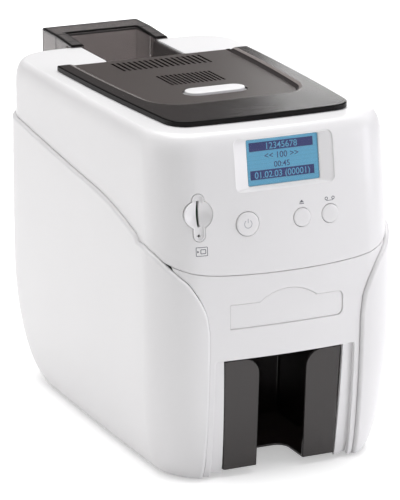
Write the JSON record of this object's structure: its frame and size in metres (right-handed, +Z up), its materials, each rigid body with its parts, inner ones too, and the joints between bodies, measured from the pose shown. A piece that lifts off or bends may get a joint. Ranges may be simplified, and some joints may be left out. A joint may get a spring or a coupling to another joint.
{
  "type": "desktop card printer",
  "caption": "Desktop plastic-card printer: white bow-fronted body with a display, see-through smoke lid over the ribbon, feed hopper behind and pull-out stacker in front.",
  "frame": {"origin": "middle of the outline's width and depth, on the table under the feet", "axes": "+Z up, the front with the display faces -Y, +X to the right of someone facing the front"},
  "size_m": [0.184, 0.3359, 0.244],
  "materials": {
    "white_abs": "glossy",
    "smoke_polycarbonate": "glossy, see-through",
    "sheet_steel": "satin",
    "ground_steel": "polished",
    "black_rubber": "matt",
    "circuit_board": "satin",
    "grey_plastic": "satin",
    "black_plastic": "satin",
    "natural_acetal": "satin",
    "sintered_bronze": "satin",
    "brass": "satin",
    "display_glass": "glossy",
    "blue_silicone": "matt, sticky",
    "ceramic": "satin",
    "cast_aluminium": "satin",
    "ribbon_film": "glossy",
    "ribbon_cassette_plastic": "glossy"
  },
  "bodies": {
    "body": {"base_tray": "white_abs", "rubber_feet": "black_rubber", "left_side_cover": "white_abs", "right_side_cover": "white_abs", "upper_housing": "white_abs", "lower_front_panel": "white_abs", "slot_blank_plate": "white_abs", "rear_panel": "white_abs", "rear_screws": "sheet_steel", "lid_hinge_pins": "ground_steel", "lid_hinge_brackets": "white_abs", "display_glass": "display_glass", "display_module": "circuit_board", "button_board": "circuit_board", "card_slot_insert": "white_abs", "card_reader_board": "circuit_board", "chassis_left_plate": "sheet_steel", "chassis_right_plate": "sheet_steel", "chassis_cross_bars": "ground_steel", "card_guides": "grey_plastic", "shaft_bushes": "sintered_bronze", "feed_motor": "sheet_steel", "head_pivot_shaft": "ground_steel", "ribbon_cassette": "ribbon_cassette_plastic", "ribbon_film": "ribbon_film", "takeup_motor": "sheet_steel", "main_board": "circuit_board", "power_inlet": "black_plastic", "usb_socket": "sheet_steel"},
    "lid": {"top_lid": "smoke_polycarbonate"},
    "release_button": {"lid_release_button": "white_abs"},
    "latch": {"lid_latch": "sheet_steel"},
    "feed_hopper": {"input_hopper": "smoke_polycarbonate"},
    "stacker": {"output_hopper": "smoke_polycarbonate"},
    "power_key": {"power_button": "white_abs"},
    "eject_key": {"eject_button": "white_abs"},
    "ribbon_key": {"ribbon_button": "white_abs"},
    "pick_shaft": {"pick_roller": "black_rubber", "pick_gear": "natural_acetal"},
    "transport_shaft": {"transport_roller": "black_rubber", "transport_gear": "natural_acetal"},
    "platen_shaft": {"platen_roller": "black_rubber", "platen_gear": "natural_acetal"},
    "exit_shaft": {"exit_roller": "black_rubber", "exit_gear": "natural_acetal"},
    "transport_pinch": {"transport_pinch_roller": "ground_steel"},
    "exit_pinch": {"exit_pinch_roller": "ground_steel"},
    "cleaning": {"cleaning_roller": "blue_silicone"},
    "pick_idler": {"pick_idler_gear": "natural_acetal"},
    "transport_idler": {"transport_idler_gear": "natural_acetal"},
    "exit_idler": {"exit_idler_gear": "natural_acetal"},
    "feed_motor_shaft": {"motor_pinion": "brass"},
    "head_cradle": {"head_frame": "sheet_steel", "head_springs": "sheet_steel"},
    "head": {"head_carriage": "cast_aluminium", "print_head": "ceramic"},
    "supply": {"supply_spool": "ribbon_film"},
    "takeup": {"takeup_spool": "ribbon_film", "takeup_gear": "natural_acetal"},
    "takeup_motor_shaft": {"takeup_pinion": "brass"}
  },
  "joints": [
    {"name": "lid_hinge", "type": "hinge", "parent": "body", "child": "lid", "pos_m": [0, 0.054, 0.2392], "axis": [-1, 0, 0], "range_deg": [0, 90]},
    {"name": "release_press", "type": "slide", "parent": "lid", "child": "release_button", "axis": [0, 0, -1], "range_m": [0, 0.0026], "stiffness_N_per_m": 600, "springref_m": -0.002},
    {"name": "latch_slide", "type": "slide", "parent": "lid", "child": "latch", "axis": [0, 1, 0], "range_m": [0, 0.0026]},
    {"name": "feed_hopper_lift", "type": "slide", "parent": "body", "child": "feed_hopper", "axis": [0, 0, 1], "range_m": [0, 0.06]},
    {"name": "stacker_pull", "type": "slide", "parent": "body", "child": "stacker", "axis": [0, -1, 0], "range_m": [0, 0.085]},
    {"name": "power_press", "type": "slide", "parent": "body", "child": "power_key", "axis": [0, 0.9952, -0.0978], "range_m": [0, 0.001], "stiffness_N_per_m": 600, "springref_m": -0.0005},
    {"name": "eject_press", "type": "slide", "parent": "body", "child": "eject_key", "axis": [0, 0.9952, -0.0978], "range_m": [0, 0.001], "stiffness_N_per_m": 600, "springref_m": -0.0005},
    {"name": "ribbon_press", "type": "slide", "parent": "body", "child": "ribbon_key", "axis": [0, 0.9952, -0.0978], "range_m": [0, 0.001], "stiffness_N_per_m": 600, "springref_m": -0.0005},
    {"name": "platen_spin", "type": "hinge", "parent": "body", "child": "platen_shaft", "pos_m": [0, -0.0068, 0.0932], "axis": [1, 0, 0], "continuous": true},
    {"name": "pick_spin", "type": "hinge", "parent": "body", "child": "pick_shaft", "pos_m": [0, 0.1012, 0.0932], "axis": [1, 0, 0], "continuous": true},
    {"name": "transport_spin", "type": "hinge", "parent": "body", "child": "transport_shaft", "pos_m": [0, 0.0412, 0.0932], "axis": [1, 0, 0], "continuous": true},
    {"name": "exit_spin", "type": "hinge", "parent": "body", "child": "exit_shaft", "pos_m": [0, -0.0608, 0.0932], "axis": [1, 0, 0], "continuous": true},
    {"name": "pick_idler_spin", "type": "hinge", "parent": "body", "child": "pick_idler", "pos_m": [0, 0.0712, 0.0932], "axis": [1, 0, 0], "continuous": true},
    {"name": "transport_idler_spin", "type": "hinge", "parent": "body", "child": "transport_idler", "pos_m": [0, 0.0172, 0.0932], "axis": [1, 0, 0], "continuous": true},
    {"name": "exit_idler_spin", "type": "hinge", "parent": "body", "child": "exit_idler", "pos_m": [0, -0.0338, 0.0932], "axis": [1, 0, 0], "continuous": true},
    {"name": "feed_motor_spin", "type": "hinge", "parent": "body", "child": "feed_motor_shaft", "pos_m": [0, -0.0338, 0.0722], "axis": [1, 0, 0], "continuous": true},
    {"name": "transport_pinch_spin", "type": "hinge", "parent": "body", "child": "transport_pinch", "pos_m": [0, 0.0412, 0.106], "axis": [1, 0, 0], "continuous": true},
    {"name": "exit_pinch_spin", "type": "hinge", "parent": "body", "child": "exit_pinch", "pos_m": [0, -0.0608, 0.106], "axis": [1, 0, 0], "continuous": true},
    {"name": "cleaning_spin", "type": "hinge", "parent": "body", "child": "cleaning", "pos_m": [0, 0.0232, 0.108], "axis": [1, 0, 0], "continuous": true},
    {"name": "head_cradle_hinge", "type": "hinge", "parent": "body", "child": "head_cradle", "pos_m": [0, 0.0532, 0.158], "axis": [-1, 0, 0], "range_deg": [0, 60]},
    {"name": "head_lift", "type": "slide", "parent": "head_cradle", "child": "head", "axis": [0, 0, 1], "range_m": [0, 0.002], "stiffness_N_per_m": 3000, "springref_m": -0.002, "deforming": ["head_springs"]},
    {"name": "supply_spin", "type": "hinge", "parent": "body", "child": "supply", "pos_m": [0, 0.0352, 0.138], "axis": [1, 0, 0], "continuous": true},
    {"name": "takeup_spin", "type": "hinge", "parent": "body", "child": "takeup", "pos_m": [0, -0.0528, 0.124], "axis": [1, 0, 0], "continuous": true},
    {"name": "takeup_motor_spin", "type": "hinge", "parent": "body", "child": "takeup_motor_shaft", "pos_m": [0, -0.0768, 0.124], "axis": [1, 0, 0], "continuous": true}
  ],
  "couplings": [
    {"joint": "latch_slide", "follows": "release_press", "ratio": 1},
    {"joint": "pick_spin", "follows": "platen_spin", "ratio": 1},
    {"joint": "transport_spin", "follows": "platen_spin", "ratio": 1},
    {"joint": "exit_spin", "follows": "platen_spin", "ratio": 1},
    {"joint": "pick_idler_spin", "follows": "platen_spin", "ratio": -0.66667},
    {"joint": "transport_idler_spin", "follows": "platen_spin", "ratio": -1},
    {"joint": "exit_idler_spin", "follows": "platen_spin", "ratio": -0.8},
    {"joint": "feed_motor_spin", "follows": "platen_spin", "ratio": 2},
    {"joint": "transport_pinch_spin", "follows": "platen_spin", "ratio": -1.4},
    {"joint": "exit_pinch_spin", "follows": "platen_spin", "ratio": -1.4},
    {"joint": "cleaning_spin", "follows": "platen_spin", "ratio": -1},
    {"joint": "takeup_motor_spin", "follows": "takeup_spin", "ratio": -3}
  ]
}
